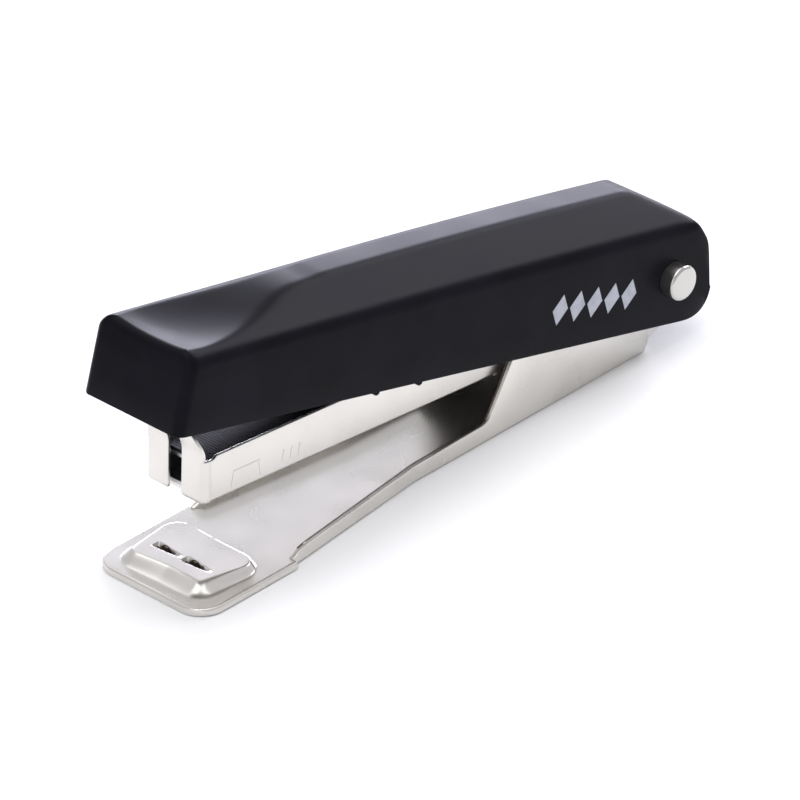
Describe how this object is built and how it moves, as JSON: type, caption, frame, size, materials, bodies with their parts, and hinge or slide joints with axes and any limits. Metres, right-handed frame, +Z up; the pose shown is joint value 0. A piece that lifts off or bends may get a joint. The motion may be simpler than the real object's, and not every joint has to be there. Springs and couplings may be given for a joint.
{
  "type": "mini stapler",
  "caption": "Small desk stapler with a pressed steel base and magazine, a moulded black cap and a single hinge pin, loaded with a strip of staples.",
  "frame": {"origin": "Middle of the whole length, on the middle plane, at the base's underside", "axes": "+X runs from the nose to the hinge, +Y across, +Z up from the table"},
  "size_m": [0.0942, 0.0214, 0.0361],
  "materials": {
    "plated_steel": "satin nickel plate",
    "spring_steel": "tempered",
    "blade_steel": "blackened",
    "staple_wire": "galvanised",
    "cap_plastic": "satin"
  },
  "bodies": {
    "base": {"base_frame": "plated_steel", "hinge_pin": "plated_steel", "base_return_spring": "spring_steel", "base_spring_rivet": "plated_steel"},
    "magazine": {"magazine_channel": "plated_steel", "staple_rail": "plated_steel", "rail_rivets": "plated_steel", "staple_strip": "staple_wire", "guide_rod": "plated_steel", "rod_bracket": "plated_steel", "rod_clip": "spring_steel", "spring_seat_washer": "plated_steel", "pivot_bush": "plated_steel", "pusher_spring": "spring_steel"},
    "pusher": {"pusher": "blade_steel"},
    "cap": {"cap_shell": "cap_plastic", "handle_frame": "plated_steel", "driver_blade": "blade_steel", "driver_rivets": "plated_steel", "handle_spring": "spring_steel", "handle_spring_rivet": "plated_steel"}
  },
  "joints": [
    {"name": "magazine_pivot", "type": "hinge", "parent": "base", "child": "magazine", "pos_m": [0.03989, 0, 0.0102], "axis": [0, 1, 0], "range_deg": [-6.7, 0], "stiffness_Nm_per_rad": 0.35, "springref_deg": 14.32, "deforming": ["base_return_spring"]},
    {"name": "cap_pivot", "type": "hinge", "parent": "magazine", "child": "cap", "pos_m": [0.03989, 0, 0.0102], "axis": [0, 1, 0], "range_deg": [-7.3, 70], "stiffness_Nm_per_rad": 0.3, "springref_deg": 3.44, "deforming": ["handle_spring"]},
    {"name": "pusher_slide", "type": "slide", "parent": "magazine", "child": "pusher", "axis": [0.996, 0, -0.0889], "range_m": [0, 0.026], "stiffness_N_per_m": 60, "springref_m": -0.03, "deforming": ["pusher_spring"]}
  ]
}
